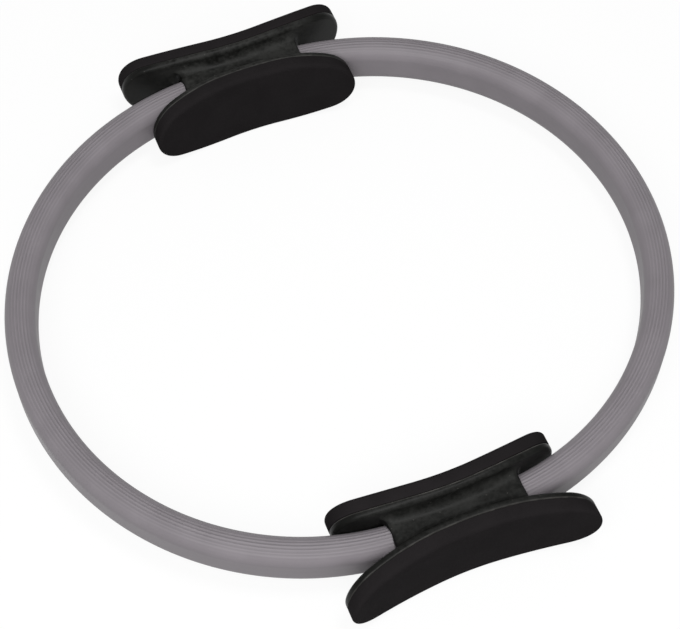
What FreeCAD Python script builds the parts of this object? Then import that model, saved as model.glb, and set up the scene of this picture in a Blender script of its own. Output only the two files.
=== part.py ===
"""Springy exercise ring with two padded handles, as a parametric document in millimetres.

The ring lies flat on its pads: X runs across its bare sides, Y through the two handles and Z up.
The origin is on the floor below the ring's middle. Each body is drawn about the ring's middle plane,
for the handle on +Y or the side on +X, and its Placement lifts it and, for its twin, turns it half round.
"""
import FreeCAD
import Part
import Sketcher
import math
import os

SIZES = (
    ("ring_width", 380.0, "overall width across the bare sides"),
    ("ring_straight", 44.4, "straight run at each handle, between the two half circles"),
    ("tube_width", 17.2, "ribbed sleeve across"),
    ("tube_height", 27.8, "ribbed sleeve from crest to crest"),
    ("groove_count", 8, "grooves between the ribs of one crest"),
    ("groove_pitch", 2.2, "spacing of those grooves along the crest"),
    ("groove_radius", 0.45, "half round section of one groove"),
    ("sleeve_insert", 8.0, "length of sleeve held inside a neck"),
    ("strip_thickness", 2.5, "spring strip"),
    ("strip_height", 18.0, "spring strip from edge to edge"),
    ("strip_gap", 1.0, "space between the two strips of a side"),
    ("strip_end", 6.0, "from the handle's middle to the end of a strip"),
    ("strip_play", 0.5, "space between a strip and the sleeve's bore"),
    ("neck_length", 75.0, "moulded neck along the ring"),
    ("neck_wall", 2.2, "neck above and below the sleeve"),
    ("neck_corner", 3.0, "rounding of the neck's four long corners"),
    ("neck_fillet", 5.0, "fillet from the neck into the flanges"),
    ("saddle_share", 0.75, "largest part of the flange above the neck that this fillet may take"),
    ("mouth_gap", 0.6, "extra space round the sleeve in a neck's mouth"),
    ("mouth_depth", 3.5, "length of that wider mouth"),
    ("handle_wall", 2.2, "flange beyond the sleeve's side, at the handle's middle"),
    ("flange_thickness", 4.0, "moulded flange behind a foam pad"),
    ("flange_round", 0.8, "rounding of a flange's rim beside the foam"),
    ("lip_round", 2.5, "rounding of a flange's rim on the neck's side"),
    ("foam_thickness", 7.6, "foam pad"),
    ("foam_round", 1.5, "rounding of a pad's front edge"),
    ("glue_line", 0.1, "glue between flange and foam"),
    ("face_radius", 213.0, "hollow of a pad's face"),
    ("pad_height", 51.0, "pads and flanges from bottom to top"),
    ("pad_straight", 34.0, "straight stretch of a pad's lower and upper edge"),
    ("pad_tip_radius", 21.3, "rounded tip of a pad"),
    ("inner_wing", 26.2, "inner flange and pad beyond the neck, at each end"),
    ("outer_wing", 33.2, "outer flange and pad beyond the neck, at each end"),
    ("screw_diameter", 5.0, "handle screw"),
    ("screw_setback", 8.0, "from the end of a strip to the screw through it"),
    ("screw_depth", 8.0, "screw inside the inner shell"),
    ("screw_head_diameter", 9.0, "head of a handle screw"),
    ("screw_head_height", 2.6, "head of a handle screw"),
    ("screw_head_sink", 0.4, "head below the flange's face"),
    ("socket_width", 3.0, "hexagon socket across its corners"),
    ("socket_depth", 1.4, "hexagon socket"),
    ("fit", 0.3, "clearance of pieces that are laid into each other"),
    ("trim", 5.0, "stock around a curved plate before its outline is cut"),
)

# Worked out from the sizes above
ARC_RADIUS = "(Sizes.ring_width - Sizes.tube_width - Sizes.ring_straight) / 2"
ARC_CENTRE = "Sizes.ring_straight / 2"
SLEEVE_LINE = f"{ARC_CENTRE} + {ARC_RADIUS}"
MID_HEIGHT = "Sizes.pad_height / 2"
NECK_HEIGHT = "(Sizes.tube_height + 2 * Sizes.neck_wall)"
FLANGE_OFFSET = "(Sizes.tube_width / 2 + Sizes.handle_wall)"
FLANGE_FACE = "(Sizes.face_radius + Sizes.foam_thickness)"
FLANGE_BACK = "(Sizes.face_radius + Sizes.foam_thickness + Sizes.flange_thickness)"
SLEEVE_END = "(Sizes.neck_length / 2 - Sizes.sleeve_insert)"
SCREW_PLACE = "(Sizes.strip_end + Sizes.screw_setback)"
SCREW_SEAT = f"({FLANGE_OFFSET} - Sizes.screw_head_height - Sizes.screw_head_sink)"
STRIP_STACK = "(Sizes.strip_gap + 2 * Sizes.strip_thickness)"
LIP = "min(Sizes.lip_round; Sizes.flange_thickness - Sizes.flange_round - Sizes.fit)"
WING = {1: "Sizes.outer_wing", -1: "Sizes.inner_wing"}
SIDE_NAME = {1: "outer", -1: "inner"}

# How constraints number the points of a line or arc, and a sketch's own lines
START, END, CENTRE = 1, 2, 3
X_LINE, Y_LINE = -1, -2
ORIGIN = (X_LINE, START)

TOLERANCE = 1e-4

doc = FreeCAD.newDocument("ExerciseRing")


def make_sheet():
    """Writes the driving dimensions into the sheet, one named row each."""
    sheet = doc.addObject("Spreadsheet::Sheet", "Sizes")
    for row, (name, value, note) in enumerate(SIZES, 1):
        sheet.set(f"A{row}", str(value))
        sheet.setAlias(f"A{row}", name)
        sheet.set(f"B{row}", note)
    doc.recompute()
    return sheet


sheet = make_sheet()


def value_of(expression):
    """The number that an expression gives with the sheet's present sizes."""
    return float(sheet.evalExpression(expression))


def flange_centre(side):
    """Distance from the ring's middle to the axis that a handle's concave faces curve about."""
    sign = "+" if side > 0 else "-"
    return f"{ARC_RADIUS} {sign} ({FLANGE_OFFSET} + {FLANGE_FACE})"


def make_body(name, turned):
    """An empty body, lifted to the ring's height and turned half round for the twin of a piece."""
    body = doc.addObject("PartDesign::Body", name)
    place(body, turned)
    return body


def place(piece, turned):
    angle = 180 if turned else 0
    piece.Placement = FreeCAD.Placement(FreeCAD.Vector(), FreeCAD.Rotation(FreeCAD.Vector(0, 0, 1), angle))
    piece.setExpression("Placement.Base.z", MID_HEIGHT)


def make_sketch(body, name, role, out=None):
    """A sketch on one of the body's own planes; an upright one may stand further out along +Y."""
    sketch = body.newObject("Sketcher::SketchObject", name)
    plane = [feature for feature in body.Origin.OriginFeatures if feature.Role == role][0]
    sketch.AttachmentSupport = [(plane, "")]
    sketch.MapMode = "FlatFace"
    if out:
        sketch.setExpression("AttachmentOffset.Base.z", f"-({out})")
    return sketch


def dimension(sketch, kind, *where_and_size):
    """Adds a dimension to a sketch, bound to the expression that comes last."""
    *where, size = where_and_size
    index = sketch.addConstraint(Sketcher.Constraint(kind, *where, value_of(size)))
    sketch.setExpression(f"Constraints[{index}]", size)


def relate(sketch, kind, *where):
    sketch.addConstraint(Sketcher.Constraint(kind, *where))


def add_line(sketch, x0, y0, x1, y1):
    return sketch.addGeometry(Part.LineSegment(FreeCAD.Vector(x0, y0), FreeCAD.Vector(x1, y1)))


def add_arc(sketch, x, y, radius, from_angle, to_angle):
    circle = Part.Circle(FreeCAD.Vector(x, y), FreeCAD.Vector(0, 0, 1), radius)
    return sketch.addGeometry(Part.ArcOfCircle(circle, from_angle, to_angle))


def add_circle(sketch, x, y, diameter):
    """A circle at a place given by expressions, with a bound diameter."""
    centre = FreeCAD.Vector(value_of(x), value_of(y))
    circle = sketch.addGeometry(Part.Circle(centre, FreeCAD.Vector(0, 0, 1), value_of(diameter) / 2))
    dimension(sketch, "DistanceX", *ORIGIN, circle, CENTRE, x)
    dimension(sketch, "DistanceY", *ORIGIN, circle, CENTRE, y)
    dimension(sketch, "Diameter", circle, diameter)


def add_rectangle(sketch, left, right, half_height):
    """A rectangle from left to right, as high above the sketch's X line as below it."""
    x0, x1, y1 = value_of(left), value_of(right), value_of(half_height)
    corners = ((x0, -y1), (x1, -y1), (x1, y1), (x0, y1))
    sides = [add_line(sketch, *corners[k], *corners[(k + 1) % 4]) for k in range(4)]
    for k in range(4):
        relate(sketch, "Coincident", sides[k], END, sides[(k + 1) % 4], START)
        relate(sketch, "Vertical" if k % 2 else "Horizontal", sides[k])
    dimension(sketch, "DistanceX", *ORIGIN, sides[0], START, left)
    dimension(sketch, "DistanceX", *ORIGIN, sides[1], START, right)
    dimension(sketch, "DistanceY", *ORIGIN, sides[1], END, half_height)
    dimension(sketch, "DistanceY", sides[1], START, sides[1], END, f"2 * ({half_height})")


def add_upright_slot(sketch, middle, width, height):
    """A tall outline with straight sides and half round ends, on the sketch's X line."""
    x, r = value_of(middle), value_of(width) / 2
    rise = value_of(height) / 2 - r
    top = add_arc(sketch, x, rise, r, 0, math.pi)
    left = add_line(sketch, x - r, rise, x - r, -rise)
    bottom = add_arc(sketch, x, -rise, r, math.pi, 2 * math.pi)
    right = add_line(sketch, x + r, -rise, x + r, rise)
    outline = (top, left, bottom, right)
    for k in range(4):
        relate(sketch, "Tangent", outline[k], END, outline[(k + 1) % 4], START)
    relate(sketch, "Symmetric", top, CENTRE, bottom, CENTRE, X_LINE)
    relate(sketch, "Equal", top, bottom)
    dimension(sketch, "DistanceX", *ORIGIN, top, CENTRE, middle)
    dimension(sketch, "DistanceY", *ORIGIN, top, CENTRE, f"({height}) / 2 - ({width}) / 2")
    dimension(sketch, "Radius", top, f"({width}) / 2")


def add_turning_axis(sketch):
    """The upright line that a side of the ring is turned about, as the sketch's own axis."""
    x, z = value_of(ARC_CENTRE), value_of("Sizes.tube_height")
    axis = sketch.addGeometry(Part.LineSegment(FreeCAD.Vector(x, 0), FreeCAD.Vector(x, z)), True)
    relate(sketch, "Vertical", axis)
    relate(sketch, "PointOnObject", axis, START, X_LINE)
    dimension(sketch, "DistanceX", *ORIGIN, axis, START, ARC_CENTRE)
    dimension(sketch, "DistanceY", axis, START, axis, END, "Sizes.tube_height")


def turned_about_axis(body, kind, name, sketch, angle):
    """A revolution or groove about the sketch's own axis, as far to one side as to the other."""
    feature = body.newObject(f"PartDesign::{kind}", name)
    feature.Profile = sketch
    feature.ReferenceAxis = (sketch, ["Axis0"])
    feature.Midplane = True
    feature.setExpression("Angle", angle)
    return feature


def straight(body, kind, name, sketch, length=None):
    """A pad or pocket as far to one side of its sketch as to the other, or through everything."""
    feature = body.newObject(f"PartDesign::{kind}", name)
    feature.Profile = sketch
    feature.SideType = "Symmetric"
    if length:
        feature.setExpression("Length", length)
    else:
        feature.Type = "ThroughAll"
    return feature


def mirrored(body, name, features, role):
    """The mirror image of some features in one of the body's own planes."""
    plane = [item for item in body.Origin.OriginFeatures if item.Role == role][0]
    copy = body.newObject("PartDesign::Mirrored", name)
    copy.Originals = features
    copy.MirrorPlane = (plane, [""])
    body.Tip = copy
    return copy


def edges_where(feature, test):
    """Names of the edges whose points all pass a test."""
    names = []
    for number, edge in enumerate(feature.Shape.Edges, 1):
        points = [edge.valueAt(edge.FirstParameter + k / 4 * (edge.LastParameter - edge.FirstParameter))
                  for k in range(5)]
        if all(test(point) for point in points):
            names.append(f"Edge{number}")
    return names


def rounded(body, name, feature, test, radius):
    """A fillet on the edges of a feature that pass a test."""
    doc.recompute()
    fillet = body.newObject("PartDesign::Fillet", name)
    fillet.Base = (feature, edges_where(feature, test))
    fillet.setExpression("Radius", radius)
    return fillet


def side_angle(end):
    """How far round a side of the ring it is between two places as far from the handles' middles as end."""
    return f"180deg - 2 * asin(({end} - {ARC_CENTRE}) / ({ARC_RADIUS}))"


def make_sleeve(name, turned):
    """A ribbed tube round one side of the ring, with a square bore for the strips."""
    body = make_body(name, turned)
    section = make_sketch(body, f"{name}_section", "XZ_Plane")
    add_upright_slot(section, SLEEVE_LINE, "Sizes.tube_width", "Sizes.tube_height")
    half_bore = f"{STRIP_STACK} / 2 + Sizes.strip_play"
    add_rectangle(section, f"{SLEEVE_LINE} - ({half_bore})", f"{SLEEVE_LINE} + {half_bore}",
                  "Sizes.strip_height / 2 + Sizes.strip_play")
    add_turning_axis(section)
    turned_about_axis(body, "Revolution", f"{name}_tube", section, side_angle(SLEEVE_END))
    ribs = make_sketch(body, f"{name}_ribs", "XZ_Plane")
    count = int(value_of("Sizes.groove_count"))
    for k in range(count):
        angle = f"({k} - {count - 1} / 2) * Sizes.groove_pitch / (Sizes.tube_width / 2) * 1rad"
        add_circle(ribs, f"{SLEEVE_LINE} + Sizes.tube_width / 2 * sin({angle})",
                   f"(Sizes.tube_height - Sizes.tube_width) / 2 + Sizes.tube_width / 2 * cos({angle})",
                   "2 * Sizes.groove_radius")
    add_turning_axis(ribs)
    grooves = turned_about_axis(body, "Groove", f"{name}_grooves", ribs,
                                side_angle(f"{SLEEVE_END} - Sizes.fit"))
    mirrored(body, f"{name}_lower_grooves", [grooves], "XY_Plane")
    return body


def make_strip(name, side, turned):
    """A flat spring strip: half a circle, with straight ends that reach into both handles."""
    body = make_body(name, turned)
    plan = make_sketch(body, f"{name}_plan", "XY_Plane")
    near = f"{ARC_RADIUS} + {side} * Sizes.strip_gap / 2"
    far = f"{near} + {side} * Sizes.strip_thickness"
    x, x0 = value_of(ARC_CENTRE), value_of("Sizes.strip_end")
    faces = []
    for radius in (near, far):
        r = value_of(radius)
        bend = add_arc(plan, x, 0, r, -math.pi / 2, math.pi / 2)
        upper = add_line(plan, x, r, x0, r)
        lower = add_line(plan, x0, -r, x, -r)
        relate(plan, "Tangent", bend, END, upper, START)
        relate(plan, "Tangent", lower, END, bend, START)
        relate(plan, "Horizontal", upper)
        relate(plan, "PointOnObject", bend, CENTRE, X_LINE)
        dimension(plan, "DistanceX", *ORIGIN, bend, CENTRE, ARC_CENTRE)
        dimension(plan, "Radius", bend, radius)
        dimension(plan, "DistanceX", *ORIGIN, upper, END, "Sizes.strip_end")
        relate(plan, "Symmetric", upper, END, lower, START, X_LINE)
        faces.append((upper, lower, r))
    (upper, lower, r), (far_upper, far_lower, far_r) = faces
    for line, pos, far_line, sign in ((upper, END, far_upper, 1), (lower, START, far_lower, -1)):
        end = add_line(plan, x0, sign * r, x0, sign * far_r)
        relate(plan, "Coincident", line, pos, end, START)
        relate(plan, "Coincident", far_line, pos, end, END)
    straight(body, "Pad", f"{name}_strip", plan, "Sizes.strip_height")
    holes = make_sketch(body, f"{name}_holes", "XZ_Plane")
    add_circle(holes, SCREW_PLACE, "0", "Sizes.screw_diameter + 2 * Sizes.fit")
    straight(body, "Pocket", f"{name}_drilled", holes)
    return body


def add_curved_plate(sketch, side, near, far, half_length):
    """Plan of a plate between two radii, with its hollow face turned away from the ring's line."""
    centre = flange_centre(side)
    y, half = value_of(centre), value_of(half_length)
    right, left = (END, START) if side > 0 else (START, END)
    middle = -side * math.pi / 2
    lines = []
    for radius in (near, far):
        r = value_of(radius)
        spread = math.asin(half / r)
        lines.append(add_arc(sketch, 0, y, r, middle - spread, middle + spread))
        relate(sketch, "PointOnObject", lines[-1], CENTRE, Y_LINE)
        dimension(sketch, "DistanceY", *ORIGIN, lines[-1], CENTRE, centre)
        dimension(sketch, "Radius", lines[-1], radius)
    for pos, sign in ((right, 1), (left, -1)):
        y0, y1 = (y - side * math.sqrt(value_of(radius) ** 2 - half ** 2) for radius in (near, far))
        end = add_line(sketch, sign * half, y0, sign * half, y1)
        relate(sketch, "Coincident", lines[0], pos, end, START)
        relate(sketch, "Coincident", lines[1], pos, end, END)
        relate(sketch, "Vertical", end)
        dimension(sketch, "DistanceX", *ORIGIN, end, START, f"{sign} * ({half_length})")


def add_pad_outline(sketch, half_length):
    """A pad from the front: straight below and above, with round shoulders and tips."""
    h, tip, half = value_of(MID_HEIGHT), value_of("Sizes.pad_tip_radius"), value_of(half_length)
    flat = value_of("Sizes.pad_straight") / 2
    reach = half - tip - flat
    shoulder = (reach ** 2 + h ** 2 - tip ** 2) / (2 * (h - tip))
    turn = math.atan2(shoulder - h, reach)
    up, right, down = math.pi / 2, 0, -math.pi / 2
    outline = (
        add_line(sketch, flat, h, -flat, h),
        add_arc(sketch, -flat, h - shoulder, shoulder, up, math.pi - turn),
        add_arc(sketch, -(half - tip), 0, tip, math.pi - turn, math.pi + turn),
        add_arc(sketch, -flat, shoulder - h, shoulder, math.pi + turn, up + math.pi),
        add_line(sketch, -flat, -h, flat, -h),
        add_arc(sketch, flat, shoulder - h, shoulder, down, right - turn),
        add_arc(sketch, half - tip, 0, tip, right - turn, right + turn),
        add_arc(sketch, flat, h - shoulder, shoulder, right + turn, up),
    )
    for k in range(8):
        relate(sketch, "Tangent", outline[k], END, outline[(k + 1) % 8], START)
    top, left_tip, bottom, right_tip = outline[0], outline[2], outline[4], outline[6]
    relate(sketch, "Symmetric", top, START, top, END, Y_LINE)
    relate(sketch, "Symmetric", bottom, START, bottom, END, Y_LINE)
    relate(sketch, "Symmetric", top, START, bottom, END, X_LINE)
    dimension(sketch, "DistanceX", *ORIGIN, top, START, "Sizes.pad_straight / 2")
    dimension(sketch, "DistanceY", *ORIGIN, top, START, MID_HEIGHT)
    for cap, sign in ((left_tip, -1), (right_tip, 1)):
        centre = f"{sign} * ({half_length} - Sizes.pad_tip_radius)"
        relate(sketch, "PointOnObject", cap, CENTRE, X_LINE)
        dimension(sketch, "DistanceX", *ORIGIN, cap, CENTRE, centre)
        dimension(sketch, "Radius", cap, "Sizes.pad_tip_radius")


def add_shaped_plate(body, name, side, near, far):
    """A curved plate, cut to the outline of the pad on that side of the handle."""
    half_length = f"(Sizes.neck_length / 2 + {WING[side]})"
    stock = f"{half_length} + Sizes.trim"
    plan = make_sketch(body, f"{name}_plate_plan", "XY_Plane")
    add_curved_plate(plan, side, near, far, stock)
    straight(body, "Pad", f"{name}_plate", plan, "Sizes.pad_height + 2 * Sizes.trim")
    outline = make_sketch(body, f"{name}_outline", "XZ_Plane")
    beyond = f"{stock} + Sizes.trim"
    add_rectangle(outline, f"-({beyond})", beyond, f"{MID_HEIGHT} + 2 * Sizes.trim")
    add_pad_outline(outline, half_length)
    return straight(body, "Pocket", f"{name}_trimmed", outline)


def on_cylinder(side, radius):
    """A test for points that lie on a handle's concave cylinder of some radius."""
    y, r = value_of(flange_centre(side)), value_of(radius)
    return lambda point: abs(math.hypot(point.x, point.y - y) - r) < TOLERANCE


def make_foam_pad(name, side, turned):
    """A foam pad with a hollow face, glued to its flange."""
    body = make_body(name, turned)
    plate = add_shaped_plate(body, name, side, "Sizes.face_radius", f"{FLANGE_FACE} - Sizes.glue_line")
    rounded(body, f"{name}_edge", plate, on_cylinder(side, "Sizes.face_radius"), "Sizes.foam_round")
    return body


def make_shell(name, side, turned):
    """One half of a handle's moulded body: a concave flange and half of the neck round the ring."""
    body = make_body(name, turned)
    flange = add_shaped_plate(body, name, side, FLANGE_FACE, FLANGE_BACK)
    rim = rounded(body, f"{name}_rim", flange, on_cylinder(side, FLANGE_FACE), "Sizes.flange_round")
    rounded(body, f"{name}_lip", rim, on_cylinder(side, FLANGE_BACK), LIP)
    add_half_neck(body, name, side)
    cut_ring_seats(body, name)
    cut_screw_holes(body, name, side)
    return body


def add_half_neck(body, name, side):
    """The neck, from the plane where the shells meet into the flange, with rounded corners."""
    half = "Sizes.neck_length / 2"
    plan = make_sketch(body, f"{name}_neck_plan", "XY_Plane")
    into_flange = f"({FLANGE_BACK} - Sizes.flange_thickness / 2)"
    x, y0, yc = value_of(half), value_of(ARC_RADIUS), value_of(flange_centre(side))
    r = value_of(into_flange)
    spread, middle = math.asin(x / r), -side * math.pi / 2
    y1 = yc - side * math.sqrt(r ** 2 - x ** 2)
    arc = add_arc(plan, 0, yc, r, middle - spread, middle + spread)
    joint = add_line(plan, -x, y0, x, y0)
    right, left = (END, START) if side > 0 else (START, END)
    relate(plan, "PointOnObject", arc, CENTRE, Y_LINE)
    dimension(plan, "DistanceY", *ORIGIN, arc, CENTRE, flange_centre(side))
    dimension(plan, "Radius", arc, into_flange)
    dimension(plan, "DistanceY", *ORIGIN, joint, START, ARC_RADIUS)
    relate(plan, "Symmetric", joint, START, joint, END, Y_LINE)
    dimension(plan, "DistanceX", *ORIGIN, joint, END, half)
    for pos, joint_pos, sign in ((right, END, 1), (left, START, -1)):
        end = add_line(plan, sign * x, y0, sign * x, y1)
        relate(plan, "Coincident", joint, joint_pos, end, START)
        relate(plan, "Coincident", arc, pos, end, END)
        relate(plan, "Vertical", end)
    neck = straight(body, "Pad", f"{name}_neck", plan, NECK_HEIGHT)
    z = value_of(NECK_HEIGHT) / 2

    def at_corner(point):
        return abs(abs(point.x) - x) < TOLERANCE and abs(abs(point.z) - z) < TOLERANCE

    corners = rounded(body, f"{name}_corners", neck, at_corner, "Sizes.neck_corner")
    on_back = on_cylinder(side, FLANGE_BACK)

    def at_foot(point):
        return on_back(point) and abs(point.x) < x + TOLERANCE and abs(point.z) < z + TOLERANCE

    wall = f"{FLANGE_OFFSET} - Sizes.flange_thickness - Sizes.fit"
    rim = f"({MID_HEIGHT} - {NECK_HEIGHT} / 2 - {LIP}) * Sizes.saddle_share"
    rounded(body, f"{name}_saddle", corners, at_foot, f"min(Sizes.neck_fillet; {wall}; {rim})")


def cut_ring_seats(body, name):
    """Seats for the ends of both sleeves, wider in the mouths, and for the strips' ends further in."""
    seats = []
    for part, space, end in (
            ("seat", "Sizes.fit", f"{SLEEVE_END} - Sizes.fit"),
            ("mouth", "Sizes.fit + Sizes.mouth_gap", "Sizes.neck_length / 2 - Sizes.mouth_depth")):
        section = make_sketch(body, f"{name}_{part}_section", "XZ_Plane")
        add_upright_slot(section, SLEEVE_LINE, f"Sizes.tube_width + 2 * ({space})",
                         f"Sizes.tube_height + 2 * ({space})")
        add_turning_axis(section)
        seats.append(turned_about_axis(body, "Groove", f"{name}_{part}", section, side_angle(end)))
    mirrored(body, f"{name}_seats", seats, "YZ_Plane")
    pockets = make_sketch(body, f"{name}_strip_pockets", "XZ_Plane", ARC_RADIUS)
    half_height = "Sizes.strip_height / 2 + Sizes.fit"
    inner, outer = "Sizes.strip_end - Sizes.fit", f"{SLEEVE_END} + Sizes.fit"
    add_rectangle(pockets, inner, outer, half_height)
    add_rectangle(pockets, f"-({outer})", f"-({inner})", half_height)
    straight(body, "Pocket", f"{name}_strip_seats", pockets, f"{STRIP_STACK} + 2 * Sizes.fit")


def cut_screw_holes(body, name, side):
    """Clearance holes with sunk seats in the outer shell, blind holes in the inner one."""
    holes = make_sketch(body, f"{name}_screw_holes", "XZ_Plane", ARC_RADIUS)
    for sign in (1, -1):
        add_circle(holes, f"{sign} * {SCREW_PLACE}", "0", "Sizes.screw_diameter + Sizes.fit")
    if side < 0:
        straight(body, "Pocket", f"{name}_drilled", holes, "2 * (Sizes.screw_depth + Sizes.fit)")
        return
    straight(body, "Pocket", f"{name}_drilled", holes)
    reach = "(Sizes.flange_thickness + Sizes.foam_thickness)"
    seats = make_sketch(body, f"{name}_head_seats", "XZ_Plane", f"{ARC_RADIUS} + {SCREW_SEAT} + {reach} / 2")
    for sign in (1, -1):
        add_circle(seats, f"{sign} * {SCREW_PLACE}", "0", "Sizes.screw_head_diameter + 2 * Sizes.fit")
    straight(body, "Pocket", f"{name}_sunk", seats, reach)


def make_rod(kind, name, bindings, x, y):
    """A round or hexagonal bar that points along +Y from a place given by expressions."""
    bar = doc.addObject(f"Part::{kind}", name)
    bar.Placement = FreeCAD.Placement(FreeCAD.Vector(), FreeCAD.Rotation(FreeCAD.Vector(1, 0, 0), -90))
    bindings = dict(bindings, **{"Placement.Base.x": x, "Placement.Base.y": y})
    for setting, size in bindings.items():
        bar.setExpression(setting, size)
    return bar


def combine(kind, name, base, tool):
    result = doc.addObject(f"Part::{kind}", name)
    result.Base = base
    result.Tool = tool
    return result


def make_screws(name, turned):
    """The two screws of a handle, each through both strips of one side."""
    screws = []
    seat = f"{ARC_RADIUS} + {SCREW_SEAT}"
    for sign, which in ((1, "right"), (-1, "left")):
        x = f"{sign} * {SCREW_PLACE}"
        shank = make_rod("Cylinder", f"{name}_{which}_shank", {
            "Radius": "Sizes.screw_diameter / 2",
            "Height": f"{SCREW_SEAT} + Sizes.screw_depth",
        }, x, f"{ARC_RADIUS} - Sizes.screw_depth")
        head = make_rod("Cylinder", f"{name}_{which}_head", {
            "Radius": "Sizes.screw_head_diameter / 2",
            "Height": "Sizes.screw_head_height",
        }, x, seat)
        socket = make_rod("Prism", f"{name}_{which}_socket", {
            "Circumradius": "Sizes.socket_width / 2",
            "Height": "Sizes.socket_depth",
        }, x, f"{seat} + Sizes.screw_head_height - Sizes.socket_depth")
        solid = combine("Fuse", f"{name}_{which}_solid", shank, head)
        screws.append(combine("Cut", f"{name}_{which}", solid, socket))
    group = doc.addObject("Part::Compound", name)
    group.Links = screws
    place(group, turned)
    return group


def make_ring():
    """All pieces: two handles of shells, pads and screws, and two sides of sleeve and strips."""
    pieces = []
    for handle, turned in (("handle_a", False), ("handle_b", True)):
        for side in (1, -1):
            pieces.append(make_shell(f"{handle}_{SIDE_NAME[side]}_shell", side, turned))
            pieces.append(make_foam_pad(f"{handle}_{SIDE_NAME[side]}_pad", side, turned))
        pieces.append(make_screws(f"{handle}_screws", turned))
    for ring_side, turned in (("right", False), ("left", True)):
        pieces.append(make_sleeve(f"{ring_side}_sleeve", turned))
        for side in (1, -1):
            pieces.append(make_strip(f"{ring_side}_{SIDE_NAME[side]}_strip", side, turned))
    doc.recompute()
    return pieces


def check(pieces):
    """Stops if any object failed, or if a piece has no sound solid."""
    for item in doc.Objects:
        if "Invalid" in item.State or "Error" in item.State:
            raise RuntimeError(f"{item.Label} failed: {item.State}")
    for piece in pieces:
        if piece.Shape.isNull() or not piece.Shape.isValid() or not piece.Shape.Solids:
            raise RuntimeError(f"{piece.Label} has no valid solid")


pieces = make_ring()
check(pieces)
os.makedirs("parts", exist_ok=True)
for piece in pieces:
    piece.Shape.exportStep(f"parts/{piece.Label}.step")
    print(piece.Label, len(piece.Shape.Solids), "solids", round(piece.Shape.Volume), "mm3")
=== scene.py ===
"""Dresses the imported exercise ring: ribbed sleeves, foam pads, moulded handles, springs and a studio.

Everything is in metres, in the frame of the solids: X across the bare sides, Y through the handles, Z up.
"""
import math

import bmesh
import bpy
from bpy.props import FloatProperty, FloatVectorProperty, IntProperty, PointerProperty
from mathutils import Matrix, Vector


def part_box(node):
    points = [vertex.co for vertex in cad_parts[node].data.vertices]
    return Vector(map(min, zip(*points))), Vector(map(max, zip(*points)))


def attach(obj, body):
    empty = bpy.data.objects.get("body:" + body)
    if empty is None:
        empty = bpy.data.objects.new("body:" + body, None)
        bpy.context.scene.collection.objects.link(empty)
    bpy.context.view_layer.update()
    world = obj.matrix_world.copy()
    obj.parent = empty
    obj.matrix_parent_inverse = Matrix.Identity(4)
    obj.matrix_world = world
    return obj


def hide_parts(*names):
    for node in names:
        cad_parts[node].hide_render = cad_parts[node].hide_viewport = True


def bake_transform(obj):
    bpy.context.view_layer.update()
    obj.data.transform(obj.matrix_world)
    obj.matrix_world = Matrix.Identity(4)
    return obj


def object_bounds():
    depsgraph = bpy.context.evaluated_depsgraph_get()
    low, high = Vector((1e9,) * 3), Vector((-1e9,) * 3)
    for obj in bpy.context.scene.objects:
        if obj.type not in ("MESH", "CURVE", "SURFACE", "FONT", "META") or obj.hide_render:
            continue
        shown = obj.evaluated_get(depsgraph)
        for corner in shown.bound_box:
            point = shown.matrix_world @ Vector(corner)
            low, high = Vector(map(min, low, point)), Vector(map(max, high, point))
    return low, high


bl_info = {
    "name": "Exercise Ring",
    "version": (1, 0, 0),
    "blender": (4, 5, 0),
    "location": "View3D > Sidebar > Ring",
    "description": "Builds the looks of a springy exercise ring around its solids",
    "category": "Object",
}

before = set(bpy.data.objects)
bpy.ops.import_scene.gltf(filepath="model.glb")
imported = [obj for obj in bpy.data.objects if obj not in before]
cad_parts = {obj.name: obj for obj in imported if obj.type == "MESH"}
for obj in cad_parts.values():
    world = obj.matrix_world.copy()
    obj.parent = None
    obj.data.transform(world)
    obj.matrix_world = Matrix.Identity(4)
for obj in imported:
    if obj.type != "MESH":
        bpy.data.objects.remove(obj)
CAD_LOW, CAD_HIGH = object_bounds()

# The ring's parts, with the sign of their place: sides on X, handles on Y, faces out from the ring's line.
SIDES = {"right": 1, "left": -1}
HANDLES = {"handle_a": 1, "handle_b": -1}
FACES = {"outer": 1, "inner": -1}

# Places taken from the solids.
SLEEVE_LOW, SLEEVE_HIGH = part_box("right_sleeve")
OUTER_LOW, OUTER_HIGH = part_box("handle_a_outer_pad")
INNER_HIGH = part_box("handle_a_inner_pad")[1]
MIDDLE = (CAD_LOW.z + CAD_HIGH.z) / 2
HALF_TURN = Matrix.Rotation(math.pi, 4, "Z")

# How finely the meshes are divided, and which of their edges stay crisp.
CREST_STEPS = 140
SWEEP_STEPS = 66
WALL_CUTS = 6
SHOULDER_STEPS = 22
TIP_STEPS = 14
FRONT_STEPS = 7
BACK_STEPS = 2
SLICE_X = 0.0025
SLICE_Z = 0.0045
SAME_PLACE = 1e-6
SHARP = math.radians(35)
FOAM_SHARP = math.radians(50)
GROOVE_RUN_OUT = 1.5

# Marks on the moulding: a band goes from where a mark starts to where it is full, a share is its strength.
SEAM_BAND = (0.0011, 0.0003)
# The seam line is partly dust and glue and partly a painted highlight along the flange's edge, stronger on
# the inner flanges and fainter on the far handle.
SEAM_DUST_AND_HIGHLIGHT = {"outer": 0.6, "inner": 1.3}
SEAM_HIGHLIGHT_FAR_SHARE = 0.3
# Painted shade: a dark line round the tube at each neck's mouth, held near the tube by the next two limits.
MOUTH_SHADE_BAND = (0.0012, 0.0004)
MOUTH_SHADE_SHARE = 0.85
TUBE_ACROSS = (0.0105, 0.0095)
TUBE_UP = (0.0160, 0.0150)
# Strength of the scuffed tone: full at the neck and weak on the wings, partly wear from hands and partly
# painted shade; from the near handle to the far one, painted light that makes the far handle paler.
NECK_REACH = (0.036, 0.056)
WING_WEAR_AND_SHADE = 0.16
HANDLE_PAINTED_LIGHT = (0.80, 1.36)
HANDLE_Y = 0.1
SPECK_BAND = (0.075, 0.04)
SPECK_SHARE = 0.6

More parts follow.
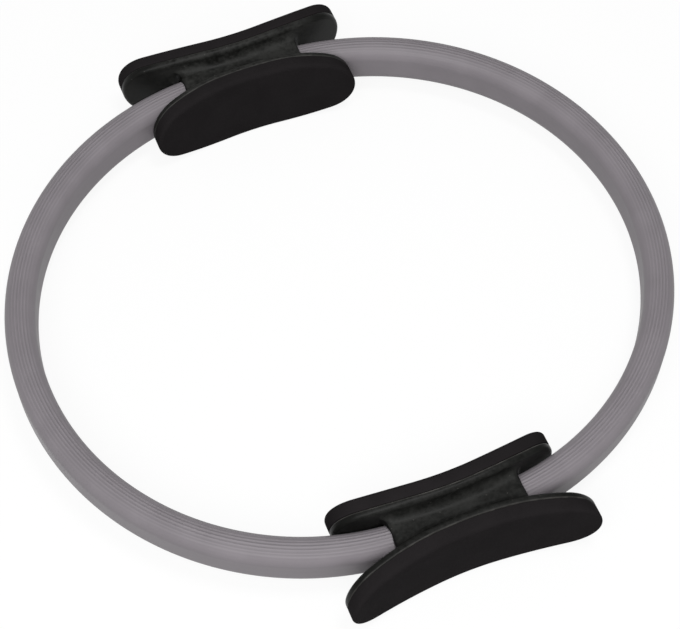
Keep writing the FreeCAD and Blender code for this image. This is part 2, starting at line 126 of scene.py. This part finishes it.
# The studio: the floor's colours in the picture and in the light it throws back, the lights and the camera.
FLOOR_REACH = 6.0
FLOOR_SEEN = (0.9, 0.9, 0.9)
FLOOR_BOUNCE = (0.5, 0.5, 0.5)
FLOOR_GLOW = 0.9
WHITE = (1, 1, 1, 1)
KEY_BACK, KEY_DOWN, KEY_LEFT = 1.5, 0.12, 0.2
KEY_SIZE = 1.1
TOP_PLACE = Vector((0.15, -0.20, 1.31))
TOP_SIZE = 0.35
SENSOR_WIDTH = 36.0
CLIP_START, CLIP_END = 0.01, 100.0


def length(name, default, description):
    """A size in metres."""
    return FloatProperty(name=name, description=description, default=default, unit="LENGTH", precision=5)


def colour(name, default, description):
    """A linear colour."""
    return FloatVectorProperty(name=name, description=description, default=default, subtype="COLOR",
                               size=3, min=0.0, max=1.0)


class SleeveSizes(bpy.types.PropertyGroup):
    """Ribbed tube that covers the springs of one side."""
    ring_radius: length("Ring radius", 0.1592, "Half circle of the tube's middle line")
    ring_centre: length("Ring centre", 0.0222, "From the ring's middle to the centre of a half circle")
    width: length("Width", 0.0172, "Tube across")
    height: length("Height", SLEEVE_HIGH.z - SLEEVE_LOW.z, "Tube from crest to crest")
    end: length("End", 0.0295, "From the handle's middle to the end of the tube inside the neck")
    mouth: length("Mouth", 0.0375, "From the handle's middle to the mouth of the neck")
    bore_width: length("Bore width", 0.007, "Bore for the springs, across")
    bore_height: length("Bore height", 0.019, "Bore for the springs, from top to bottom")
    groove_count: IntProperty(name="Grooves", description="Grooves on one crest", default=8, min=1)
    groove_pitch: length("Groove pitch", 0.0020, "Spacing of the grooves round the crest")
    groove_width: length("Groove width", 0.0020, "Width of a groove at its lips")
    groove_depth: length("Groove depth", 0.00030, "Depth of a groove")


class PadSizes(bpy.types.PropertyGroup):
    """Foam pads with hollow faces, two on each handle."""
    height: length("Height", OUTER_HIGH.z - OUTER_LOW.z, "Pad from bottom to top")
    straight: length("Straight", 0.034, "Straight stretch of the lower and upper edge")
    tip: length("Tip", 0.0213, "Radius of the rounded ends")
    outer_half: length("Outer half", OUTER_HIGH.x, "Half length of a pad that faces out")
    inner_half: length("Inner half", INNER_HIGH.x, "Half length of a pad that faces into the ring")
    thickness: length("Thickness", 0.0080, "Foam sheet")
    front_round: length("Front rounding", 0.0027, "Rounding of the front edge")
    back_round: length("Back rounding", 0.0003, "Rounding of the glued edge")
    crown: length("Crown", 0.0004, "Swell of the face at its middle")
    glue: length("Glue", 0.0001, "Glue between flange and foam")
    flange_offset: length("Flange offset", 0.0108, "From the ring's line to a flange's face, at the middle")
    flange_radius: length("Flange radius", 0.2206, "Hollow of a flange's face")


class RingColours(bpy.types.PropertyGroup):
    """Colours of the finishes, as linear values."""
    sleeve: colour("Sleeve", (0.219, 0.201, 0.216), "Grey rubber of the tube")
    # Painted shade: the rubber's colour at the bottom of a groove.
    groove: colour("Groove", (0.165, 0.152, 0.163), "Rubber at the bottom of a groove")
    foam: colour("Foam", (0.0146, 0.0131, 0.0138), "Black closed-cell foam")
    plastic: colour("Plastic", (0.0058, 0.0060, 0.0054), "Black moulding")
    # The scuffed tone is real wear, laid on with painted shade on the wings and painted light on the far
    # handle.
    scuffed: colour("Scuffed", (0.0268, 0.0270, 0.0256), "Moulding where hands and dust have dulled it")
    # The seam colour is partly dust and glue and partly a painted highlight along the flange's edge.
    seam: colour("Seam", (0.0760, 0.0730, 0.0690), "Dust and glue along the seam of flange and foam")
    # Painted shade: the dark line round the tube at a neck's mouth.
    gap: colour("Gap", (0.0008, 0.0008, 0.0007), "Dark line where the tube enters the moulding")
    strip: colour("Strip", (0.560, 0.520, 0.330), "Glass fibre of the springs")
    steel: colour("Steel", (0.560, 0.560, 0.540), "Zinc-plated screws")


class StudioSettings(bpy.types.PropertyGroup):
    """Camera and light."""
    azimuth: FloatProperty(name="Azimuth", description="Camera's turn round the ring",
                           default=math.radians(-22.22), subtype="ANGLE")
    elevation: FloatProperty(name="Elevation", description="Camera's height over the floor",
                             default=math.radians(58.34), subtype="ANGLE")
    distance: length("Distance", 0.96583, "Camera from the ring's middle, along its view")
    side_step: length("Side step", -0.00055, "Camera to the right of the ring's middle")
    rise: length("Rise", -0.01704, "Camera above the ring's middle, in the picture")
    lens: FloatProperty(name="Lens", description="Focal length", default=90.03, subtype="DISTANCE_CAMERA")
    ambient: FloatProperty(name="Ambient", description="Light from all round", default=0.33, min=0.0)
    key_power: FloatProperty(name="Key", description="Soft light behind the camera", default=15.5,
                             subtype="POWER")
    top_power: FloatProperty(name="Top", description="Soft light overhead", default=6.0, subtype="POWER")


class Value:
    """A shader value: sums and products of values add Math nodes to its finish."""

    def __init__(self, finish, socket):
        self.finish = finish
        self.socket = socket

    def joined(self, operation, first, second):
        """What a Math node makes of two values."""
        return self.finish.node("ShaderNodeMath", {"operation": operation}, {0: first, 1: second})

    def __add__(self, other):
        return self.joined("ADD", self, other)

    def __sub__(self, other):
        return self.joined("SUBTRACT", self, other)

    def __rsub__(self, other):
        return self.joined("SUBTRACT", other, self)

    def __mul__(self, other):
        return self.joined("MULTIPLY", self, other)

    def __pow__(self, other):
        return self.joined("POWER", self, other)

    __radd__ = __add__
    __rmul__ = __mul__


class Finish:
    """A material in the making."""

    def __init__(self, name):
        self.material = bpy.data.materials.new(name)
        self.material.use_nodes = True
        self.tree = self.material.node_tree
        self.tree.nodes.clear()

    def node(self, kind, settings=None, inputs=None, output=0):
        """Adds a node: its settings first, then values or links for its sockets; gives one output."""
        node = self.tree.nodes.new(kind)
        for name, value in (settings or {}).items():
            setattr(node, name, value)
        for name, value in (inputs or {}).items():
            if isinstance(value, Value):
                self.tree.links.new(value.socket, node.inputs[name])
            else:
                node.inputs[name].default_value = value
        return Value(self, node.outputs[output]) if node.outputs else None

    def place(self):
        """Where a point lies on its piece."""
        return self.node("ShaderNodeTexCoord", output="Object")

    def attribute(self, name, output):
        """What the mesh itself says at a point."""
        return self.node("ShaderNodeAttribute", {"attribute_name": name}, output=output)

    def ray(self, kind):
        """Whether a surface is met by a ray of one kind."""
        return self.node("ShaderNodeLightPath", output=kind)

    def noise(self, vector, scale, detail, roughness=0.5):
        """Soft blotches, as many to a metre as the scale says."""
        return self.node("ShaderNodeTexNoise", None, {
            "Vector": vector, "Scale": scale, "Detail": detail, "Roughness": roughness})

    def streaks(self, vector, scales, detail):
        """Noise drawn out along the axis with the smallest scale."""
        drawn = self.node("ShaderNodeMapping", {"vector_type": "POINT"}, {"Vector": vector, "Scale": scales})
        return self.noise(drawn, 1.0, detail)

    def cells(self, vector, scale):
        """Distance to the middle of the nearest of many cells."""
        return self.node("ShaderNodeTexVoronoi", {"feature": "F1"}, {"Vector": vector, "Scale": scale})

    def between(self, value, limits, to=(0.0, 1.0)):
        """A smooth step that takes a value's two limits to two others."""
        return self.node("ShaderNodeMapRange", {"interpolation_type": "SMOOTHSTEP"}, {
            "Value": value, "From Min": limits[0], "From Max": limits[1], "To Min": to[0], "To Max": to[1]})

    def size_of(self, value):
        """A value without its sign."""
        return self.node("ShaderNodeMath", {"operation": "ABSOLUTE"}, {0: value})

    def mixed(self, factor, first, second):
        """Two colours mixed by a value; 6 and 7 are the node's colour sockets, 2 is its colour result."""
        first, second = (tint if isinstance(tint, Value) else (*tint, 1.0) for tint in (first, second))
        return self.node("ShaderNodeMix", {"data_type": "RGBA"}, {0: factor, 6: first, 7: second}, 2)

    def toned(self, tint, tone):
        """A colour made darker or paler by a value."""
        return self.node("ShaderNodeVectorMath", {"operation": "SCALE"}, {0: tint, "Scale": tone})

    def bumped(self, height, distance, strength):
        """A normal that follows a fine relief."""
        return self.node("ShaderNodeBump", None, {
            "Height": height, "Distance": distance, "Strength": strength})

    def closed(self, shader):
        """Ends the material in a shader."""
        self.node("ShaderNodeOutputMaterial", None, {"Surface": shader})
        return self.material

    def surface(self, inputs):
        """Ends the material in a principled surface."""
        return self.closed(self.node("ShaderNodeBsdfPrincipled", None, inputs))


def ribbed_rubber(colours):
    """Dull grey rubber, drawn out along the tube, with painted shade in its grooves that leaves its ribs
    paler.
    """
    finish = Finish("ribbed_rubber")
    lay = finish.attribute("lay", "Vector")
    groove = finish.attribute("groove", "Fac")
    streak = finish.streaks(lay, (12.0, 700.0, 700.0), detail=3.0)
    cloud = finish.noise(lay, scale=45.0, detail=3.0)
    grain = finish.noise(lay, scale=2600.0, detail=2.0)
    tone = finish.between(streak * 0.3 + cloud * 0.7, (0.34, 0.66), to=(0.95, 1.05))
    # Painted shade in the grooves, which leaves the ribs paler.
    base = finish.mixed(groove * 0.8, colours.sleeve, colours.groove)
    return finish.surface({
        "Base Color": finish.toned(base, tone),
        "Roughness": finish.between(cloud, (0.3, 0.7), to=(0.36, 0.44)),
        "Normal": finish.bumped(grain, distance=0.00005, strength=0.4),
        "Specular IOR Level": 0.16,
    })


def black_foam(colours):
    """Black closed-cell foam: fine open pores on a dull skin."""
    finish = Finish("black_foam")
    place = finish.place()
    pores = finish.cells(place, scale=1500.0)
    cloud = finish.noise(place, scale=60.0, detail=3.0)
    grain = finish.noise(place, scale=900.0, detail=3.0)
    tone = finish.between(cloud * 0.6 + grain * 0.4, (0.3, 0.7), to=(0.90, 1.12))
    return finish.surface({
        "Base Color": finish.toned(colours.foam, tone),
        "Roughness": finish.between(grain, (0.3, 0.7), to=(0.82, 0.94)),
        "Normal": finish.bumped(pores * 0.7 + grain, distance=0.00012, strength=0.5),
        "Specular IOR Level": 0.03,
    })


def moulded_plastic(colours, pads, sleeves):
    """Black moulding with mottled wear, a seam of dust and painted highlight where the foam is glued on, and
    a dark line of painted shade at the neck's mouths; the wear is weaker on the wings and stronger on the
    far handle, partly as painted shade and light.
    """
    finish = Finish("moulded_plastic")
    place = finish.place()
    x, y, z = (finish.node("ShaderNodeSeparateXYZ", None, {"Vector": place}, axis) for axis in "XYZ")
    along, across = finish.size_of(x), finish.size_of(y)
    # The seam line along each flange: partly dust and glue, partly a painted highlight, fainter on the far
    # handle.
    rim = 0.0
    for face, share in SEAM_DUST_AND_HIGHLIGHT.items():
        centre = sleeves.ring_radius + FACES[face] * (pads.flange_offset + pads.flange_radius)
        radius = (x ** 2.0 + (across - centre) ** 2.0) ** 0.5
        line = finish.between(radius, [pads.flange_radius + depth for depth in SEAM_BAND])
        rim = line * finish.between(y, (HANDLE_Y, -HANDLE_Y), to=(SEAM_HIGHLIGHT_FAR_SHARE * share, share)) + rim
    # Painted shade: a dark line round the tube where it enters a neck's mouth.
    off_line = finish.size_of(across - sleeves.ring_radius)
    off_middle = finish.size_of(z - MIDDLE)
    near_tube = finish.between(off_line, TUBE_ACROSS) * finish.between(off_middle, TUBE_UP)
    mouth = near_tube * finish.between(along, [sleeves.mouth - depth for depth in MOUTH_SHADE_BAND])
    blotch = finish.noise(place, scale=95.0, detail=5.0, roughness=0.62)
    mottle = finish.noise(place, scale=430.0, detail=4.0, roughness=0.6)
    smear = finish.streaks(place, (35.0, 160.0, 160.0), detail=3.0)
    grain = finish.noise(place, scale=1900.0, detail=2.0)
    gaps = finish.noise(place, scale=140.0, detail=5.0)
    specks = finish.between(finish.cells(place, scale=190.0), SPECK_BAND)
    # Where the scuffed tone lies: wear at the neck, with painted shade on the wings and painted light on the
    # far handle.
    by_neck = finish.between(along, NECK_REACH, to=(1.0, WING_WEAR_AND_SHADE))
    handling_and_painted_light = by_neck * finish.between(y, (-HANDLE_Y, HANDLE_Y), to=HANDLE_PAINTED_LIGHT)
    scuff_and_painted_light = finish.between(blotch * 0.3 + smear * 0.35 + mottle * 0.35, (0.33, 0.67)) * handling_and_painted_light
    worn_and_painted_light = finish.mixed(scuff_and_painted_light, colours.plastic, colours.scuffed)
    # Seam line of dust and painted highlight, with real dust specks.
    dust = rim * finish.between(gaps, (0.40, 0.62), to=(0.40, 1.0)) + specks * SPECK_SHARE
    dust_and_highlight_mix = finish.mixed(dust, worn_and_painted_light, colours.seam)
    return finish.surface({
        "Base Color": finish.mixed(mouth * MOUTH_SHADE_SHARE, dust_and_highlight_mix, colours.gap),
        "Roughness": finish.between(scuff_and_painted_light, (0.0, 1.0), to=(0.36, 0.54)),
        "Normal": finish.bumped(grain + mottle * 0.8, distance=0.00008, strength=0.5),
        "Specular IOR Level": 0.10,
    })


def glass_fibre(colours):
    """Pale resin with glass strands along the strip."""
    finish = Finish("glass_fibre")
    place = finish.place()
    strands = finish.streaks(place, (60.0, 60.0, 2400.0), detail=3.0)
    cloud = finish.noise(place, scale=70.0, detail=2.0)
    tone = finish.between(strands * 0.7 + cloud * 0.3, (0.3, 0.7), to=(0.82, 1.12))
    return finish.surface({
        "Base Color": finish.toned(colours.strip, tone),
        "Roughness": finish.between(strands, (0.3, 0.7), to=(0.28, 0.42)),
        "Normal": finish.bumped(strands, distance=0.00005, strength=0.4),
    })


def plated_steel(colours):
    """Zinc-plated steel, turned and a little dull."""
    finish = Finish("plated_steel")
    place = finish.place()
    turning = finish.streaks(place, (300.0, 5200.0, 300.0), detail=2.0)
    cloud = finish.noise(place, scale=420.0, detail=3.0)
    tone = finish.between(cloud, (0.3, 0.7), to=(0.85, 1.05))
    return finish.surface({
        "Base Color": finish.toned(colours.steel, tone),
        "Metallic": 1.0,
        "Roughness": finish.between(turning, (0.3, 0.7), to=(0.26, 0.44)),
        "Normal": finish.bumped(turning, distance=0.00003, strength=0.4),
    })


def finish_by(maker, *values):
    """A finish, made once under its maker's name and shared by all pieces that have it."""
    return bpy.data.materials.get(maker.__name__) or maker(*values)


def as_piece(bm, name, material, sharp=SHARP):
    """Turns a bmesh into a smooth piece with crisp edges, at the origin."""
    for face in bm.faces:
        face.smooth = True
    for edge in bm.edges:
        edge.smooth = len(edge.link_faces) == 2 and edge.calc_face_angle() < sharp
    mesh = bpy.data.meshes.new(name)
    bm.to_mesh(mesh)
    bm.free()
    mesh.materials.append(material)
    piece = bpy.data.objects.new(name, mesh)
    bpy.context.scene.collection.objects.link(piece)
    return piece


def edges_of(geometry):
    """The edges among what an operator made."""
    return [item for item in geometry if isinstance(item, bmesh.types.BMEdge)]


def verts_of(geometry):
    """The points among what an operator made."""
    return [item for item in geometry if isinstance(item, bmesh.types.BMVert)]


def all_of(bm):
    """Every point, edge and face of a mesh."""
    return bm.verts[:] + bm.edges[:] + bm.faces[:]


def set_in_place(bm, sign):
    """Turns a mesh to the other side of the ring if its sign is negative, and lifts it to mid height."""
    if sign < 0:
        bmesh.ops.transform(bm, matrix=HALF_TURN, verts=bm.verts)
    bmesh.ops.translate(bm, vec=(0, 0, MIDDLE), verts=bm.verts)


def groove_share(sizes, along_crest):
    """How deep the surface lies in a groove, from 0 on a rib to 1, less towards the sides of the crest."""
    first = -(sizes.groove_count - 1) / 2 * sizes.groove_pitch
    nearest = min(max(round((along_crest - first) / sizes.groove_pitch), 0), sizes.groove_count - 1)
    off = abs(along_crest - first - nearest * sizes.groove_pitch) / (sizes.groove_width / 2)
    band = sizes.groove_count * sizes.groove_pitch / 2
    fade = max(1 - (along_crest / band) ** 2, 0.0) ** GROOVE_RUN_OUT
    return fade * math.cos(min(off, 1.0) * math.pi / 2) ** 2


def crest_place(sizes, across, up):
    """Distance round the crest from its top, for a point of the tube's section."""
    rise = (sizes.height - sizes.width) / 2
    return math.atan2(across, abs(up) - rise) * sizes.width / 2


def draw_sleeve_section(bm, sizes):
    """The tube's grooved outline and its bore, as two loops in the plane through the ring's sides."""
    radius, rise = sizes.width / 2, (sizes.height - sizes.width) / 2
    line = sizes.ring_centre + sizes.ring_radius
    first = bm.verts.new((line + radius, 0, rise))
    crest = bmesh.ops.spin(bm, geom=[first], cent=(line, 0, rise), axis=(0, -1, 0), angle=math.pi,
                           steps=CREST_STEPS)
    last = verts_of(crest["geom_last"])[0]
    for vert in bm.verts:
        outward = Vector((vert.co.x - line, 0, vert.co.z - rise))
        depth = sizes.groove_depth * groove_share(sizes, crest_place(sizes, outward.x, vert.co.z))
        vert.co -= outward.normalized() * depth
    mirrored = bmesh.ops.mirror(bm, geom=bm.verts[:] + bm.edges[:], matrix=Matrix.Identity(4),
                                merge_dist=0.0, axis="Z")
    below = verts_of(mirrored["geom"])
    walls = []
    for end in (first, last):
        foot = min(below, key=lambda vert: (vert.co - Vector((end.co.x, 0, -end.co.z))).length)
        walls += bmesh.ops.contextual_create(bm, geom=[end, foot])["edges"]
    bmesh.ops.subdivide_edges(bm, edges=walls, cuts=WALL_CUTS)
    scale = Matrix.Diagonal((sizes.bore_width, 1, sizes.bore_height, 1))
    upright = Matrix.Translation((line, 0, 0)) @ scale @ Matrix.Rotation(math.pi / 2, 4, "X")
    bore = bmesh.ops.create_grid(bm, x_segments=1, y_segments=1, size=0.5, matrix=upright)
    faces = {face for vert in bore["verts"] for face in vert.link_faces}
    bmesh.ops.delete(bm, geom=list(faces), context="FACES_ONLY")


def make_sleeve_quarter(name, sizes, turn, side, material):
    """A quarter of the ring's tube, from the middle of a side into a neck, counterclockwise if turn is 1."""
    bm = bmesh.new()
    draw_sleeve_section(bm, sizes)
    sweep = math.acos((sizes.end - sizes.ring_centre) / sizes.ring_radius)
    start = list(bm.edges)
    swept = bmesh.ops.spin(bm, geom=bm.verts[:] + start, cent=(sizes.ring_centre, 0, 0), axis=(0, 0, 1),
                           angle=turn * sweep, steps=SWEEP_STEPS)
    for rims in (start, edges_of(swept["geom_last"])):
        bmesh.ops.triangle_fill(bm, edges=rims, use_beauty=True)
    bmesh.ops.recalc_face_normals(bm, faces=bm.faces)
    lay = bm.verts.layers.float_vector.new("lay")
    # How deep each point lies in a groove, kept for the painted shade in the grooves.
    groove = bm.verts.layers.float.new("groove")
    for vert in bm.verts:
        from_centre = Vector((vert.co.x - sizes.ring_centre, vert.co.y))
        across = from_centre.length - sizes.ring_radius
        angle = math.atan2(from_centre.y, from_centre.x)
        vert[lay] = (angle * sizes.ring_radius + side, across, vert.co.z)
        if abs(vert.co.z) > sizes.bore_height / 2 or abs(across) > sizes.bore_width:
            vert[groove] = groove_share(sizes, crest_place(sizes, across, vert.co.z))
    set_in_place(bm, side)
    return as_piece(bm, name, material)


def half_strip(node, name, along, material):
    """The half of a strip that reaches into one handle, closed where it is cut."""
    bm = bmesh.new()
    bm.from_mesh(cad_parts[node].data)
    bmesh.ops.remove_doubles(bm, verts=bm.verts, dist=SAME_PLACE)
    cut = bmesh.ops.bisect_plane(bm, geom=all_of(bm), dist=SAME_PLACE, plane_co=(0, 0, 0),
                                 plane_no=(0, -along, 0), clear_outer=True)
    bmesh.ops.triangle_fill(bm, edges=edges_of(cut["geom_cut"]), use_beauty=True)
    bmesh.ops.recalc_face_normals(bm, faces=bm.faces)
    return as_piece(bm, name, material)


def bend_with_side(piece):
    """Bakes a piece's placement into its mesh."""
    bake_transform(piece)


class RING_OT_sleeves(bpy.types.Operator):
    """Builds the ribbed tube of both sides, in quarters"""
    bl_idname = "ring.sleeves"
    bl_label = "Ribbed sleeves"

    def execute(self, context):
        scene = context.scene
        rubber = finish_by(ribbed_rubber, scene.ring_colours)
        for side_name, side in SIDES.items():
            for handle, along in HANDLES.items():
                name = f"{side_name}_sleeve_by_{handle}"
                piece = make_sleeve_quarter(name, scene.ring_sleeves, side * along, side, rubber)
                bend_with_side(piece)
                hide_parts(f"{side_name}_sleeve")
        return {"FINISHED"}


class RING_OT_strips(bpy.types.Operator):
    """Cuts each spring strip at the ring's side into two halves"""
    bl_idname = "ring.strips"
    bl_label = "Spring strips"

    def execute(self, context):
        fibre = finish_by(glass_fibre, context.scene.ring_colours)
        for side_name in SIDES:
            for face in FACES:
                node = f"{side_name}_{face}_strip"
                for handle, along in HANDLES.items():
                    piece = half_strip(node, f"{node}_by_{handle}", along, fibre)
                    bend_with_side(piece)
                    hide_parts(node)
        return {"FINISHED"}


def draw_pad_outline(bm, sizes, half):
    """The pad from the front: straight below and above, with round shoulders and tips."""
    height, flat, tip = sizes.height / 2, sizes.straight / 2, sizes.tip
    reach = half - tip - flat
    shoulder = (reach ** 2 + height ** 2 - tip ** 2) / (2 * (height - tip))
    turn = math.atan2(shoulder - height, reach)
    middle, corner = bm.verts.new((0, 0, height)), bm.verts.new((flat, 0, height))
    bmesh.ops.contextual_create(bm, geom=[middle, corner])
    bend = bmesh.ops.spin(bm, geom=[corner], cent=(flat, 0, height - shoulder), axis=(0, 1, 0),
                          angle=math.pi / 2 - turn, steps=SHOULDER_STEPS)
    bmesh.ops.spin(bm, geom=verts_of(bend["geom_last"]), cent=(half - tip, 0, 0), axis=(0, 1, 0),
                   angle=turn, steps=TIP_STEPS)
    for axis in ("X", "Z"):
        bmesh.ops.mirror(bm, geom=bm.verts[:] + bm.edges[:], matrix=Matrix.Identity(4),
                         merge_dist=SAME_PLACE, axis=axis)
    return bmesh.ops.contextual_create(bm, geom=bm.edges[:])["faces"][0]


def slice_across(bm, direction, reach, step):
    """Cuts a mesh into even slices, so that it can bend and swell."""
    count = int(reach / step)
    for k in range(-count, count + 1):
        bmesh.ops.bisect_plane(bm, geom=all_of(bm), dist=SAME_PLACE,
                               plane_co=Vector(direction) * k * step, plane_no=direction)


def make_pad(name, sizes, half, face_side, along, material):
    """A foam pad, cut from a flat sheet, rounded at its front edge and bent onto its flange."""
    bm = bmesh.new()
    back = draw_pad_outline(bm, sizes, half)
    sheet = bmesh.ops.extrude_face_region(bm, geom=[back], use_keep_orig=True)
    bmesh.ops.translate(bm, vec=(0, sizes.thickness, 0), verts=verts_of(sheet["geom"]))
    bmesh.ops.recalc_face_normals(bm, faces=bm.faces)
    for depth, rounding, steps in ((sizes.thickness, sizes.front_round, FRONT_STEPS),
                                   (0, sizes.back_round, BACK_STEPS)):
        rim = [edge for edge in bm.edges if all(abs(vert.co.y - depth) < SAME_PLACE for vert in edge.verts)]
        bmesh.ops.bevel(bm, geom=rim, offset=rounding, offset_type="OFFSET", segments=steps, profile=0.5,
                        affect="EDGES", clamp_overlap=True, material=-1)
    slice_across(bm, (1, 0, 0), half, SLICE_X)
    slice_across(bm, (0, 0, 1), sizes.height / 2, SLICE_Z)
    ring_line = bpy.context.scene.ring_sleeves.ring_radius
    for vert in bm.verts:
        x, depth, z = vert.co
        swell = (1 - (x / half) ** 2) * (1 - (z / sizes.height * 2) ** 2) * sizes.crown
        depth += max(swell, 0) * depth / sizes.thickness
        radius = sizes.flange_radius - sizes.glue - depth
        out = sizes.flange_offset + sizes.flange_radius - math.sqrt(radius ** 2 - x ** 2)
        vert.co.y = ring_line + face_side * out
    set_in_place(bm, along)
    bmesh.ops.recalc_face_normals(bm, faces=bm.faces)
    return as_piece(bm, name, material, sharp=FOAM_SHARP)


class RING_OT_pads(bpy.types.Operator):
    """Builds the four foam pads of the handles"""
    bl_idname = "ring.pads"
    bl_label = "Foam pads"

    def execute(self, context):
        sizes = context.scene.ring_pads
        foam = finish_by(black_foam, context.scene.ring_colours)
        halves = {"outer": sizes.outer_half, "inner": sizes.inner_half}
        for handle, along in HANDLES.items():
            for face, face_side in FACES.items():
                piece = make_pad(f"{handle}_{face}_foam", sizes, halves[face], face_side, along, foam)
                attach(piece, handle)
                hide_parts(f"{handle}_{face}_pad")
        return {"FINISHED"}


def dress(node, material):
    """Gives a solid's own mesh a better material."""
    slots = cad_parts[node].data.materials
    slots.clear()
    slots.append(material)


class RING_OT_handles(bpy.types.Operator):
    """Finishes the moulded shells and the screws of both handles"""
    bl_idname = "ring.handles"
    bl_label = "Handles"

    def execute(self, context):
        scene = context.scene
        plastic = finish_by(moulded_plastic, scene.ring_colours, scene.ring_pads, scene.ring_sleeves)
        steel = finish_by(plated_steel, scene.ring_colours)
        for handle in HANDLES:
            for face in FACES:
                dress(f"{handle}_{face}_shell", plastic)
            dress(f"{handle}_screws", steel)
        return {"FINISHED"}


def make_floor():
    """A wide white floor that still takes a faint shadow."""
    bm = bmesh.new()
    bmesh.ops.create_grid(bm, x_segments=1, y_segments=1, size=FLOOR_REACH)
    finish = Finish("white_floor")
    camera, gloss, clear = (finish.ray(f"Is {kind} Ray") for kind in ("Camera", "Glossy", "Transmission"))
    white = finish.node("ShaderNodeEmission", None, {"Color": WHITE, "Strength": 1.0})
    matte = finish.node("ShaderNodeBsdfDiffuse", None, {
        "Color": finish.mixed(camera, FLOOR_BOUNCE, FLOOR_SEEN)})
    seen = finish.node("ShaderNodeMath", {"operation": "ADD", "use_clamp": True}, {
        0: camera + gloss, 1: clear})
    shader = finish.node("ShaderNodeMixShader", None, {0: seen * FLOOR_GLOW, 1: matte, 2: white})
    floor = as_piece(bm, "floor", finish.closed(shader))


def turned_to(direction):
    """The turn of a light or camera that looks along a direction."""
    return direction.to_track_quat("-Z", "Y").to_euler()


def add_light(name, place, target, size, power):
    """A round soft light that looks at a target."""
    lamp = bpy.data.lights.new(name, "AREA")
    lamp.shape = "DISK"
    lamp.size = size
    lamp.energy = power
    light = bpy.data.objects.new(name, lamp)
    light.location = place
    light.rotation_euler = turned_to(target - place)
    bpy.context.scene.collection.objects.link(light)


class RING_OT_studio(bpy.types.Operator):
    """Sets the floor, the soft light and the camera"""
    bl_idname = "ring.studio"
    bl_label = "Studio"

    def execute(self, context):
        scene, studio = context.scene, context.scene.ring_studio
        scene.view_settings.view_transform = "Standard"
        make_floor()
        world = bpy.data.worlds.new("studio")
        world.use_nodes = True
        background = world.node_tree.nodes["Background"].inputs
        background["Color"].default_value = WHITE
        background["Strength"].default_value = studio.ambient
        scene.world = world
        az, el = studio.azimuth, studio.elevation
        back = Vector((math.sin(az) * math.cos(el), -math.cos(az) * math.cos(el), math.sin(el)))
        right = Vector((math.cos(az), math.sin(az), 0))
        up = back.cross(right)
        middle = Vector((0, 0, MIDDLE))
        lens = bpy.data.cameras.new("camera")
        lens.sensor_fit = "HORIZONTAL"
        lens.sensor_width = SENSOR_WIDTH
        lens.lens = studio.lens
        lens.clip_start, lens.clip_end = CLIP_START, CLIP_END
        camera = bpy.data.objects.new("camera", lens)
        camera.location = middle + back * studio.distance + right * studio.side_step + up * studio.rise
        camera.rotation_euler = turned_to(-back)
        scene.collection.objects.link(camera)
        scene.camera = camera
        key_place = middle + back * KEY_BACK - up * KEY_DOWN - right * KEY_LEFT
        add_light("key", key_place, middle, KEY_SIZE, studio.key_power)
        add_light("top", middle + TOP_PLACE, middle, TOP_SIZE, studio.top_power)
        return {"FINISHED"}


class RING_PT_panel(bpy.types.Panel):
    """Lists the steps that dress the ring"""
    bl_idname = "RING_PT_panel"
    bl_label = "Exercise Ring"
    bl_space_type = "VIEW_3D"
    bl_region_type = "UI"
    bl_category = "Ring"

    def draw(self, context):
        for operator in OPERATORS:
            self.layout.operator(operator.bl_idname)
        for name in SETTINGS:
            box = self.layout.box()
            settings = getattr(context.scene, name)
            for key in settings.__annotations__:
                box.prop(settings, key)


OPERATORS = (RING_OT_sleeves, RING_OT_strips, RING_OT_pads, RING_OT_handles, RING_OT_studio)
SETTINGS = {
    "ring_sleeves": SleeveSizes,
    "ring_pads": PadSizes,
    "ring_colours": RingColours,
    "ring_studio": StudioSettings,
}


def register():
    for cls in (*SETTINGS.values(), *OPERATORS, RING_PT_panel):
        bpy.utils.register_class(cls)
    for name, cls in SETTINGS.items():
        setattr(bpy.types.Scene, name, PointerProperty(type=cls))


def unregister():
    for name in SETTINGS:
        delattr(bpy.types.Scene, name)
    for cls in (RING_PT_panel, *reversed(OPERATORS), *reversed(SETTINGS.values())):
        bpy.utils.unregister_class(cls)


def main():
    register()
    bpy.ops.ring.sleeves()
    bpy.ops.ring.strips()
    bpy.ops.ring.pads()
    bpy.ops.ring.handles()
    bpy.ops.ring.studio()


if __name__ == "__main__":
    main()
